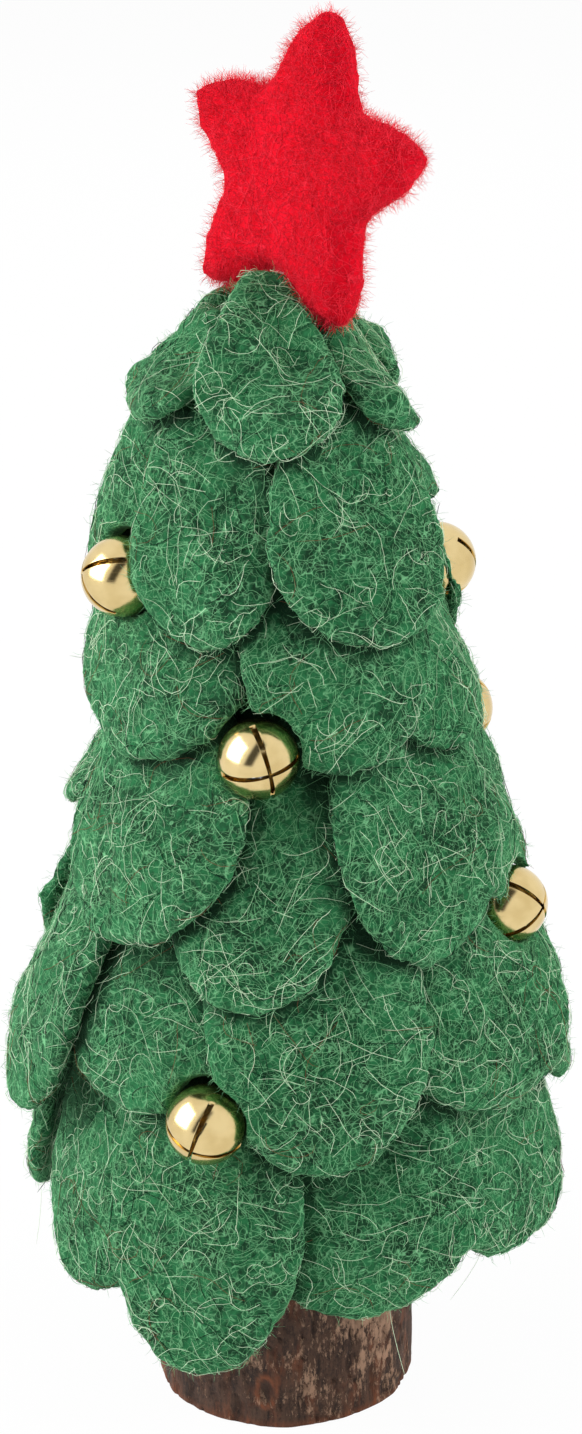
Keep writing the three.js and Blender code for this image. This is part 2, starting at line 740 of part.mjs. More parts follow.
// The room that a bell and its shank need in the felt as the bell swings about its stitch.
function bellRoom(frame) {
  const halfLift = (bellLift / 2) * degree;
  const swing = stitchReach * Math.sin(halfLift);
  const roomRadius = (bellRadius + swing + clearance) / roomFlatShare;
  const room = new THREE.IcosahedronGeometry(roomRadius, roomDetail);
  room.translate(0, -swing, 0);
  const pocketRadius = shankLoopRadius + shankWire + clearance;
  const pocketEnd = bellRadius + shankLoopRadius + shankWire + clearance;
  const pocket = uprightCylinder(pocketRadius / Math.cos(Math.PI / roundSides), -pocketEnd, 0);
  return solidFrom(room.applyMatrix4(frame.matrixWorld)).add(solidFrom(pocket.applyMatrix4(frame.matrixWorld)));
}

// Assembly, from the table up
addPiece(tree, "trunk_log", trunkGeometry(), bark);
const pegBottom = trunkHeight - boreDepth + clearance;
const peg = uprightCylinder(pegDiameter / 2, pegBottom, pegBottom + pegLength);
addPiece(tree, "trunk_peg", geometryFrom(solidFrom(peg)), pegWood);
addPiece(tree, "foam_core", coreGeometry(), foam);

const bells = bellPlaces.map((place) => ({ place, frame: bellFrame(place) }));
const rooms = bells.map(({ frame }) => bellRoom(frame));

const starSeatCutters = [];
const topRow = petalRows.at(-1);
for (const row of petalRows) {
  row.sides.forEach((side, index) => {
    const net = layPetal(row, index);
    const solid = rooms.reduce((rest, room) => rest.subtract(room), petalSolid(net, 0));
    addPiece(tree, `petal_${row.name}_${side}`, geometryFrom(largestBody(solid)), greenFelt);
    if (row === topRow) starSeatCutters.push(petalSolid(net, clearance));
  });
}

const star = starGeometry();
star.rotateZ(-starTilt * degree);
star.rotateX(Math.PI / 2);
star.rotateZ(-starYaw * degree);
star.rotateX(-starLeanBack * degree);
star.translate(starSideways, -starForward, coreTopHeight + starRise);
const seatedStar = starSeatCutters.reduce((rest, cutter) => rest.subtract(cutter), solidFrom(star));
addPiece(tree, "felt_star", geometryFrom(largestBody(seatedStar)), redFelt);

for (const { place, frame } of bells) {
  tree.add(frame);
  addPiece(frame, `${place.name}_shell`, bellShellGeometry(place.slitTurn * degree), gold);
  const jinglet = addPiece(frame, `${place.name}_jinglet`, jingletGeometry(), steel);
  const down = new THREE.Vector3(0, 0, -jingletReach);
  jinglet.position.copy(down.applyQuaternion(frame.quaternion.clone().invert()));
}

export default tree;
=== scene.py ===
"""A felt christmas tree for a table top, dressed over its fixed frame of plain solids.

Thick felt petals with curly wool fibres, a puffy felt star, polished jingle bells and a log with its
bark on. Everything is in metres, +Z is up and the front of the tree faces -Y.
"""

import json
import math

import bmesh
import bpy
import numpy as np
from bpy.props import FloatProperty, FloatVectorProperty, IntProperty, PointerProperty
from mathutils import Matrix, Vector, noise
from mathutils.bvhtree import BVHTree

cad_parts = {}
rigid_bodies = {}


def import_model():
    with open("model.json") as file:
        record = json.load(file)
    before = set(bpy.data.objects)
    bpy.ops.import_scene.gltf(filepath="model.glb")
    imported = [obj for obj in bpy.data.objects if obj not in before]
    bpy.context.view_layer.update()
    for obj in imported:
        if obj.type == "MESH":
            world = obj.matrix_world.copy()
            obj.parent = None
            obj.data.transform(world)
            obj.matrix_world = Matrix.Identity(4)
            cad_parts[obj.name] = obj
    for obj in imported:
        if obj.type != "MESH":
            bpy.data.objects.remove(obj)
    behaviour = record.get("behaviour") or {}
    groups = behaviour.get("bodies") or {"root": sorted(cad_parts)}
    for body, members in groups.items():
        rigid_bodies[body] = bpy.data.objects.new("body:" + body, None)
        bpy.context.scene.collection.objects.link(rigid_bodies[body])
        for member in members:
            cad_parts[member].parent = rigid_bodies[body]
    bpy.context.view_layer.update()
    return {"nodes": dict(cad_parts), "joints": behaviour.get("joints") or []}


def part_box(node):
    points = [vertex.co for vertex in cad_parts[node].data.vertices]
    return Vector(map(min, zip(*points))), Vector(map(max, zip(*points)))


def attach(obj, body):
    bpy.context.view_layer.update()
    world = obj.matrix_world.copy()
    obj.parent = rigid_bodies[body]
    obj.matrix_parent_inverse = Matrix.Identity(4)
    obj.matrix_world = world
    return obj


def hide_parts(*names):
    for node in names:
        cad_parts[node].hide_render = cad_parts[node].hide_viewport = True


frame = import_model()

bl_info = {
    "name": "Felt Christmas Tree",
    "version": (1, 0, 0),
    "blender": (4, 5, 0),
    "location": "3D View > Sidebar > Felt Tree",
    "description": "Dresses a felt christmas tree over its frame: petals, fibres, star, bells, log and stage",
    "category": "Object",
}

MM = 0.001
UP = Vector((0, 0, 1))
TREE_BODY = "tree"
JOINTS = {joint["name"]: joint for joint in frame["joints"]}
PETAL_NODES = sorted(name for name in frame["nodes"] if name.startswith("petal_"))
BELL_NAMES = sorted(name.removesuffix("_shell") for name in frame["nodes"] if name.endswith("_shell"))

# How far the crossed slits of each bell are turned about its pole, in degrees.
SLIT_TURNS = {
    "bell_left_high": 40,
    "bell_right_high": 30,
    "bell_right_middle": 20,
    "bell_front_middle": 13,
    "bell_right_low": 35,
    "bell_front_low": -20,
    "bell_back_high": 15,
    "bell_back_low": 25,
}

# The felt round the middle of a bell: drawn in over CLOSING_WAY from FELT_FROM on, flat up to FLAT_TO,
# and as wavy as anywhere after WAVING_WAY more.
FELT_FROM = 6.4 * MM
CLOSING_WAY = 3.1 * MM
FLAT_TO = 7.2 * MM
WAVING_WAY = 6 * MM

# The size of the felt's waves and lumps along its surface.
BROAD_WAVE = 15 * MM
SMALL_WAVE = 6 * MM
BROAD_LUMP = 2.2 * MM
SMALL_LUMP = 1.1 * MM

# Painted shade in the felt's creases: how near the felt above a place has to be to shade it, and how much one
# ray to it adds.
SHADE_REACH = 13 * MM
SHADE_PER_RAY = 0.6

# Where fibres may lie beside and behind a bell, and beside the log, from their middles on.
FIBRE_FROM = 6.3 * MM
SHANK_FIBRE_FROM = 9.5 * MM
SHANK_ROOM_FROM = 3.5 * MM
LOG_FIBRE_FROM = 23 * MM

# More hairs grow on rims and near a bell, and lean towards it. Loose ones hang from the lowest rims.
RIM_HAIRS = 5
BELL_HAIRS = 8
BELL_HAIRS_TO = 9 * MM
LEANING_TO = 10 * MM
LOWEST_RIMS_TO = 36 * MM

# The shank, a wire loop on the back of a bell.
SHANK_LOOP = 1.25 * MM
SHANK_WIRE = 0.45 * MM

LOG_RADIUS = 20.55 * MM
LOG_RINGS = 58
BARK_MARKS = ("crack", "pale", "knot")
BARK_WAVE = 0.45 * MM
BARK_ROUGHNESS = 0.16 * MM
BARK_GRAIN = 1.6 * MM
KNOT_RIM = 0.3 * MM


def linear(red, green, blue):
    """A colour given as screen values from 0 to 255, as the linear values that a shader takes."""
    return tuple(
        value / 12.92 if value <= 0.04045 else ((value + 0.055) / 1.055) ** 2.4
        for value in (red / 255, green / 255, blue / 255)
    )


def colour(name, description, red, green, blue):
    """A colour setting, given as screen values."""
    return FloatVectorProperty(
        name=name, description=description, subtype="COLOR", size=3, min=0, max=1,
        default=linear(red, green, blue),
    )


def length(name, description, millimetres):
    return FloatProperty(
        name=name, description=description, unit="LENGTH", precision=5, min=0, default=millimetres * MM
    )


def angle(name, description, degrees):
    return FloatProperty(name=name, description=description, subtype="ANGLE", default=math.radians(degrees))


def amount(name, description, value, low=0):
    return FloatProperty(name=name, description=description, default=value, min=low)


def count(name, description, number):
    return IntProperty(name=name, description=description, default=number, min=0)


class FELTTREE_PG_felt(bpy.types.PropertyGroup):
    """Sizes and colours of the felt."""

    green: colour("Green", "Main colour of the petals", 38, 106, 64)
    # Also the colour of the painted shade under the petals' rims.
    green_dark: colour("Green shade", "Darker wool in the petals", 14, 42, 26)
    green_light: colour("Green light", "Lighter wool in the petals", 118, 184, 132)
    red: colour("Red", "Main colour of the star", 216, 8, 34)
    red_dark: colour("Red shade", "Darker wool in the star", 192, 4, 24)
    red_light: colour("Red light", "Lighter wool in the star", 238, 52, 72)
    grain: length("Grain", "Spacing of the points of the felt's surface", 0.9)
    drift: length("Drift", "How far the soft petals stray from their plain shape", 0.9)
    lump: length("Lump", "Height of the small lumps of the felt's surface", 0.28)
    softness: count("Softness", "How often the rims are evened out", 6)


class FELTTREE_PG_fibres(bpy.types.PropertyGroup):
    """Numbers, sizes and colours of the loose wool fibres."""

    pale: colour("Pale", "Colour of the palest curly fibres", 216, 240, 206)
    middle: colour("Middle", "Colour of most curly fibres", 126, 190, 138)
    deep: colour("Deep", "Colour of the dark fibres", 10, 38, 26)
    brown: colour("Brown", "Colour of the few brown fibres", 120, 76, 54)
    rosy: colour("Rosy", "Colour of the fibres of the star", 238, 46, 66)
    pale_count: count("Pale fibres", "Number of pale curly fibres", 5800)
    middle_count: count("Middle fibres", "Number of other curly fibres", 13500)
    deep_count: count("Deep fibres", "Number of dark fibres", 3000)
    brown_count: count("Brown fibres", "Number of brown fibres", 600)
    fuzz_count: count("Fuzz", "Number of short hairs on the petals", 26000)
    star_count: count("Star fibres", "Number of curly fibres on the star", 900)
    star_fuzz_count: count("Star fuzz", "Number of short hairs on the star", 13000)
    curl_length: length("Curl length", "Mean length of a curly fibre", 9)
    curl_radius: length("Curl radius", "Radius of a curly fibre", 0.04)
    fuzz_length: length("Fuzz length", "Mean length of a short hair", 1.4)
    fuzz_radius: length("Fuzz radius", "Radius of a short hair", 0.025)
    drooping_count: count("Drooping hairs", "Number of long hairs that hang from the lowest rims", 10)
    seed: count("Seed", "Start of the random placing", 12)


class FELTTREE_PG_bells(bpy.types.PropertyGroup):
    """Sizes and finish of the jingle bells."""

    gold: colour("Gold", "Colour of the polished shells", 232, 208, 152)
    steel: colour("Steel", "Colour of the loose balls", 186, 188, 190)
    radius: length("Radius", "Outer radius of a shell", 6)
    wall: length("Wall", "Thickness of a shell", 0.55)
    slit_middle: length("Slit at the pole", "Width of the slits where they cross", 0.55)
    slit_end: length("Slit at the end", "Width of the slits at their ends", 0.9)
    slit_reach: angle("Slit reach", "Angle from the pole to the slits' ends", 82)
    lip: length("Lip", "Rounding of the slits' rims", 0.17)
    ball: length("Ball", "Radius of the loose ball", 1.7)
    roughness: amount("Roughness", "Roughness of the gold", 0.16)


class FELTTREE_PG_log(bpy.types.PropertyGroup):
    """Sizes and colours of the log."""

    bark: colour("Bark", "Main colour of the bark", 80, 58, 46)
    bark_dark: colour("Bark shade", "Colour in the bark's cracks", 38, 27, 22)
    bark_red: colour("Bark red", "Reddish streaks in the bark", 134, 76, 48)
    bark_pale: colour("Bark pale", "Worn pale patches of the bark", 168, 134, 110)
    wood: colour("Wood", "Colour of the sawn wood", 202, 170, 124)
    wood_ring: colour("Ring", "Colour of the growth rings", 158, 118, 76)
    crack: length("Crack", "Depth of the cracks in the bark", 0.55)
    edge: length("Edge", "Rounding of the sawn edges", 0.4)


class FELTTREE_PG_stage(bpy.types.PropertyGroup):
    """The floor, the light and the camera."""

    distance: length("Distance", "Distance of the camera in front of the tree", 508)
    height: length("Height", "Height of the camera", 305)
    sideways: length("Sideways", "Place of the camera to the right", 1.1)
    pitch: angle("Pitch", "How far the camera looks down", 20.74)
    lens: amount("Lens", "Focal length in millimetres", 89.3, low=1)
    key: amount("Key", "Power of the main lamp in watts", 15.0)
    fill: amount("Fill", "Power of the second lamp in watts", 11.0)
    ambient: amount("Ambient", "Strength of the light from all round", 0.29)


def settings(part):
    return getattr(bpy.context.scene, "felt_tree_" + part)


# ---- Shaders


class Wire:
    """A node's output that takes part in Python expressions, each of which adds a Math node."""

    def __init__(self, finish, socket):
        self.finish = finish
        self.socket = socket

    def math(self, operation, first, second=0.0, clamp=False):
        return self.finish.node(
            "ShaderNodeMath", {"operation": operation, "use_clamp": clamp}, {0: first, 1: second}
        )

    def __add__(self, other):
        return self.math("ADD", self, other)

    def __sub__(self, other):
        return self.math("SUBTRACT", self, other)

    def __rsub__(self, other):
        return self.math("SUBTRACT", other, self)

    def __mul__(self, other):
        return self.math("MULTIPLY", self, other)

    __radd__ = __add__
    __rmul__ = __mul__

    def clamped(self):
        return self.math("ADD", self, 0.0, clamp=True)

    def size(self):
        return self.math("ABSOLUTE", self)

    def between(self, low, high):
        """0 up to low, 1 from high on, and smooth between them."""
        return self.finish.node(
            "ShaderNodeMapRange", {"interpolation_type": "SMOOTHSTEP"},
            {"Value": self, "From Min": low, "From Max": high},
        )


class Finish:
    """A material under construction."""

    def __init__(self, name, owner=None):
        self.owner = owner or bpy.data.materials.new(name)
        self.owner.use_nodes = True
        self.tree = self.owner.node_tree

    def feed(self, socket, value):
        if isinstance(value, Wire):
            self.tree.links.new(value.socket, socket)
        elif hasattr(socket.default_value, "__len__") and len(socket.default_value) == 4 and len(value) == 3:
            socket.default_value = (*value, 1)
        else:
            socket.default_value = value

    def node(self, kind, options=None, inputs=None, output=0):
        """Adds a node, sets its options, feeds its inputs and gives one of its outputs."""
        node = self.tree.nodes.new(kind)
        for key, value in (options or {}).items():
            if key == "stops":
                ramp = node.color_ramp.elements
                while len(ramp) < len(value):
                    ramp.new(1)
                for element, (position, shade) in zip(ramp, value):
                    element.position = position
                    element.color = (*shade, 1)
            else:
                setattr(node, key, value)
        for key, value in (inputs or {}).items():
            self.feed(node.inputs[key], value)
        return Wire(self, node.outputs[output])

    def own(self, kind):
        """The node of a kind that was there from the start."""
        return next(node for node in self.tree.nodes if node.type == kind)

    def shader(self, **inputs):
        """Feeds the material's own shader. An underscore in a name stands for a space."""
        principled = self.own("BSDF_PRINCIPLED")
        for key, value in inputs.items():
            self.feed(principled.inputs[key.replace("_", " ")], value)

    def attribute(self, name):
        """A number that each point of the mesh carries."""
        return self.node("ShaderNodeAttribute", {"attribute_name": name}, output="Fac")

    def seen(self):
        """1 for the rays that show the background, to the eye, in a mirror or through glass."""
        outputs = ("Is Camera Ray", "Is Glossy Ray", "Is Transmission Ray")
        camera, glossy, through = (self.node("ShaderNodeLightPath", output=name) for name in outputs)
        return (camera + glossy + through).clamped()

    def place(self):
        return self.node("ShaderNodeTexCoord", output="Object")

    def stretched(self, place, scale):
        return self.node("ShaderNodeMapping", None, {"Vector": place, "Scale": scale})

    def clouds(self, place, scale, detail=3.0, roughness=0.5, output="Fac"):
        return self.node(
            "ShaderNodeTexNoise", None,
            {"Vector": place, "Scale": scale, "Detail": detail, "Roughness": roughness}, output,
        )

    def along(self, direction, axis):
        """How far a direction points along an axis."""
        return self.node(
            "ShaderNodeVectorMath", {"operation": "DOT_PRODUCT"}, {0: direction, 1: axis}, output="Value"
        )

    def blend(self, factor, first, second):
        """A colour between two colours."""
        return self.node("ShaderNodeMix", {"data_type": "RGBA"}, {0: factor, 6: first, 7: second}, output=2)

    def shifted(self, place, scale, amount):
        """A place that is pushed about by clouds, for curls and waves."""
        push = self.clouds(place, scale, 1.0, output="Color")
        middle = (0.5, 0.5, 0.5)
        centred = self.node("ShaderNodeVectorMath", {"operation": "SUBTRACT"}, {0: push, 1: middle})
        scaled = self.node("ShaderNodeVectorMath", {"operation": "SCALE"}, {0: centred, "Scale": amount})
        return self.node("ShaderNodeVectorMath", {"operation": "ADD"}, {0: place, 1: scaled})

    def tangle(self, place, scale, width):
        """Thin wandering lines, like wool fibres in felt: 1 on a line and 0 beside it."""
        waves = self.clouds(place, scale, 0.8)
        return 1 - (waves - 0.5).size().between(0.0, width)

    def bump(self, height, distance, strength):
        return self.node(
            "ShaderNodeBump", None, {"Height": height, "Distance": distance, "Strength": strength}
        )


def felt_finish(name, dark, middle, light, contrast):
    """Wool felt, mottled by wads of wool, with fine fibres that wander over it in all directions, and with
    painted shade in its creases, under the rims of the felt above."""
    finish = Finish(name)
    place = finish.place()
    cloud = finish.clouds(place, 110, 3.0, 0.6)
    wads = finish.clouds(place, 800, 3.0, 0.65)
    ground = finish.blend((cloud * 0.4 + wads * 0.6).between(0.36, 0.62), dark, middle)
    layers = (
        (finish.stretched(place, (1.2, 0.8, 1.0)), 300, 0.014, 0.8),
        (finish.stretched(place, (0.8, 1.1, 1.3)), 420, 0.018, 0.7),
        (finish.stretched(place, (1.0, 1.3, 0.7)), 600, 0.024, 0.6),
        (finish.stretched(place, (0.9, 0.7, 1.2)), 900, 0.034, 0.5),
    )
    lines = 0.0
    for turned, scale, width, share in layers:
        lines = finish.tangle(turned, scale, width) * share + lines
    lines = lines.clamped()
    # Painted shade: under the rims of the felt above, the colour goes over to the dark colour.
    crease = finish.attribute("crease")
    finish.shader(
        Base_Color=finish.blend(crease, finish.blend(lines * contrast, ground, light), dark),
        Roughness=0.95,
        Specular_IOR_Level=0.1,
        Sheen_Weight=0.35,
        Sheen_Roughness=0.6,
        Sheen_Tint=light,
        Normal=finish.bump(lines * 0.6 + wads * 0.7, 0.0004, 0.8),
    )
    return finish.owner


def plain_finish(name, shade, roughness, metallic=0.0, gloss=0.5):
    finish = Finish(name)
    finish.shader(Base_Color=shade, Roughness=roughness, Metallic=metallic, Specular_IOR_Level=gloss)
    return finish.owner


def gold_finish(values):
    finish = Finish("polished_gold")
    place = finish.place()
    waves = finish.clouds(place, 260, 2.0)
    scratches = finish.clouds(finish.stretched(place, (1, 1, 9)), 700, 2.0)
    finish.shader(
        Base_Color=finish.blend(waves.between(0.3, 0.7), values.gold, linear(216, 190, 132)),
        Metallic=1.0,
        Roughness=values.roughness + 0.1 * scratches.between(0.55, 0.8),
        Normal=finish.bump(waves + scratches * 0.15, 0.00006, 0.5),
    )
    return finish.owner


def bark_finish(values):
    """Brown bark with an upright grain: dark in its cracks, with red streaks, pale flecks and worn patches,
    a knot and a reddish rim along the sawn edge."""
    finish = Finish("bark")
    place = finish.place()
    crack, pale, knot = (finish.attribute(name) for name in BARK_MARKS)
    grain = finish.clouds(finish.stretched(place, (1, 1, 0.22)), 820, 4.0, 0.7)
    speck = finish.clouds(place, 1400, 4.0, 0.75)
    red = finish.clouds(finish.stretched(place, (1, 1, 0.3)), 240, 4.0, 0.7).between(0.48, 0.68)
    torn = finish.clouds(finish.stretched(place, (1, 1, 0.36)), 1400, 5.0, 0.8)
    worn_zone = finish.clouds(place, 130, 3.0, 0.6).between(0.42, 0.6)
    rim = 1 - finish.along(place, (0, 0, 1)).between(0.0004, 0.0018)
    ground = finish.blend((grain * 0.6 + speck * 0.4).between(0.4, 0.6), values.bark_dark, values.bark)
    streaked = finish.blend((red * 0.5 + knot * 0.8 + rim * 0.3).clamped(), ground, values.bark_red)
    bare = (pale * 0.17 + worn_zone * 0.1 + torn - 0.6).between(0.0, 0.1)
    worn = finish.blend(bare * 0.75, streaked, values.bark_pale)
    dark = (crack * 0.6 + speck.between(0.54, 0.7) * 0.5 + grain.between(0.56, 0.68) * 0.4).clamped()
    finish.shader(
        Base_Color=finish.blend(dark, worn, values.bark_dark),
        Roughness=0.8,
        Specular_IOR_Level=0.3,
        Normal=finish.bump(grain + speck * 0.5 + bare * 0.3, 0.0004, 0.8),
    )
    return finish.owner


def wood_finish(name, values):
    """Sawn end grain with growth rings round the middle of the log."""
    finish = Finish(name)
    place = finish.place()
    wavy = finish.shifted(place, 60, 0.0016)
    rings = finish.node(
        "ShaderNodeTexWave", {"wave_type": "RINGS", "rings_direction": "Z"},
        {"Vector": wavy, "Scale": 190, "Distortion": 0.6, "Detail": 2.0},
    )
    grain = finish.clouds(finish.stretched(place, (1, 1, 0.1)), 900, 3.0, 0.7)
    ringed = finish.blend(rings.between(0.5, 0.95) * 0.7, values.wood, values.wood_ring)
    finish.shader(
        Base_Color=finish.blend(grain.between(0.45, 0.75) * 0.4, ringed, values.wood_ring),
        Roughness=0.75,
        Normal=finish.bump(grain, 0.0001, 0.5),
    )
    return finish.owner


def foam_finish():
    """Dyed foam with fine pores and some wool on it, which only shows in the depths between the petals."""
    finish = Finish("green_foam")
    place = finish.place()
    pores = finish.node("ShaderNodeTexVoronoi", None, {"Vector": place, "Scale": 900})
    foam = finish.blend(pores.between(0.0, 0.5), linear(14, 36, 24), linear(30, 66, 44))
    wool = finish.tangle(place, 420, 0.04)
    wool = wool + finish.tangle(finish.stretched(place, (0.8, 1.1, 1.3)), 700, 0.06) * 0.7
    finish.shader(
        Base_Color=finish.blend(wool.clamped() * 0.8, foam, linear(58, 106, 74)),
        Roughness=0.9,
        Normal=finish.bump(pores, 0.0002, 0.6),
    )
    return finish.owner


# ---- Making pieces


def linked(name, data):
    """A new object in the scene."""
    made = bpy.data.objects.new(name, data)
    bpy.context.scene.collection.objects.link(made)
    return made


def paint(mesh, *materials):
    """Gives a mesh these materials in place of its own."""
    mesh.materials.clear()
    for material in materials:
        mesh.materials.append(material)


def adjust(thing, **options):
    """Sets some of a thing's properties."""
    for key, value in options.items():
        setattr(thing, key, value)
    return thing


def new_object(name, mesh, *materials):
    paint(mesh, *materials)
    return linked(name, mesh)


def object_from(bm, name, *materials):
    mesh = bpy.data.meshes.new(name)
    bm.to_mesh(mesh)
    bm.free()
    return new_object(name, mesh, *materials)


def welded_copy(node, name, material):
    """A copy of a frame node as one closed skin."""
    bm = bmesh.new()
    bm.from_mesh(frame["nodes"][node].data)
    bmesh.ops.remove_doubles(bm, verts=bm.verts, dist=0.001 * MM)
    return object_from(bm, name, material)


def bake_modifiers(made):
    """Applies the modifiers, and puts the mesh in a fixed order, since their threads leave it in any."""
    graph = bpy.context.evaluated_depsgraph_get()
    mesh = bpy.data.meshes.new_from_object(made.evaluated_get(graph), depsgraph=graph)
    plain = made.data
    made.modifiers.clear()
    made.data = mesh
    bpy.data.meshes.remove(plain)
    mesh.name = made.name
    sweep = Vector((1, 31.7, 1013.3))  # askew, so that hardly two points tie
    bm = bmesh.new()
    bm.from_mesh(mesh)
    bm.verts.sort(key=lambda vertex: vertex.co.dot(sweep))
    bm.edges.sort(key=lambda edge: (edge.verts[0].co + edge.verts[1].co).dot(sweep))
    bm.faces.sort(key=lambda face: face.calc_center_median().dot(sweep))
    bm.to_mesh(mesh)
    bm.free()
    return made


def points_of(mesh):
    points = np.empty(len(mesh.vertices) * 3)
    mesh.vertices.foreach_get("co", points)
    return points.reshape(-1, 3)


def set_points(mesh, points):
    mesh.vertices.foreach_set("co", np.asarray(points, dtype=np.float32).ravel())
    mesh.update()


def bell_places():
    """For each bell its name, and the matrix that puts a bell made at the origin, pole up, in its place."""
    places = {}
    for name in BELL_NAMES:
        swing = JOINTS[name + "_swing"]
        centre = Vector(JOINTS[name + "_roll"]["pos_m"])
        pole = (centre - Vector(swing["pos_m"])).normalized()
        stitch = Vector(swing["axis"]).normalized()
        turn = Matrix((stitch, pole.cross(stitch), pole)).transposed()
        places[name] = Matrix.Translation(centre) @ turn.to_4x4()
    return places


def bell_middles():
    """The middles of the bells, hanging, half lifted and lifted about their stitches."""
    middles = []
    for name, place in bell_places().items():
        swing = JOINTS[name + "_swing"]
        stitch = Vector(swing["pos_m"])
        for share in (0, 0.5, 1):
            turn = Matrix.Rotation(math.radians(share * swing["range_deg"][1]), 3, Vector(swing["axis"]))
            middles.append(stitch + turn @ (place.translation - stitch))
    return np.array(middles)


def soften(made, grain, passes):
    """Turns a faceted solid into an even, round-edged skin."""
    adjust(made.modifiers.new("skin", "REMESH"), mode="VOXEL", voxel_size=grain)
    bake_modifiers(made)
    adjust(made.modifiers.new("soft", "SMOOTH"), factor=0.5, iterations=passes)
    bake_modifiers(made)


def ways_from(middles, points):
    """The way from each middle to each point, and how long it is."""
    ways = points[:, None] - middles[None]
    return ways, np.linalg.norm(ways, axis=2)


def roughen(made, drift, lump, swell):
    """Lets a soft piece stray and gives it small lumps. All soft pieces stray alike at a place, so that
    they stay clear of each other. Beside the bells the felt keeps still, and closes up towards them."""
    noise.seed_set(1)
    mesh = made.data
    points = points_of(mesh)
    ways, gaps = ways_from(bell_middles(), points)
    nearest = gaps.argmin(axis=1)
    near = gaps.min(axis=1)
    depth = np.clip((near - FELT_FROM) / CLOSING_WAY, 0, 1)
    pull = CLOSING_WAY * depth * (1 - depth)
    points -= ways[np.arange(len(points)), nearest] * (pull / near)[:, None]
    freedom = np.clip((near - FLAT_TO) / WAVING_WAY, 0, 1)
    for index, vertex in enumerate(mesh.vertices):
        at = Vector(points[index])
        broad = noise.noise_vector(at / BROAD_WAVE + Vector((3, 7, 1)))
        small = noise.noise_vector(at / SMALL_WAVE + Vector((9, 2, 5)))
        bulge = noise.noise(at / BROAD_LUMP) + 0.6 * noise.noise(at / SMALL_LUMP)
        step = (broad + small * 0.4) * drift + vertex.normal * (bulge * lump)
        points[index] += np.array(step * float(freedom[index]) + vertex.normal * swell)
    set_points(mesh, points)
    mesh.shade_smooth()


def finish_piece(made, body=TREE_BODY, replaces=()):
    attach(made, body)
    if replaces:
        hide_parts(*replaces)


# ---- Fibres


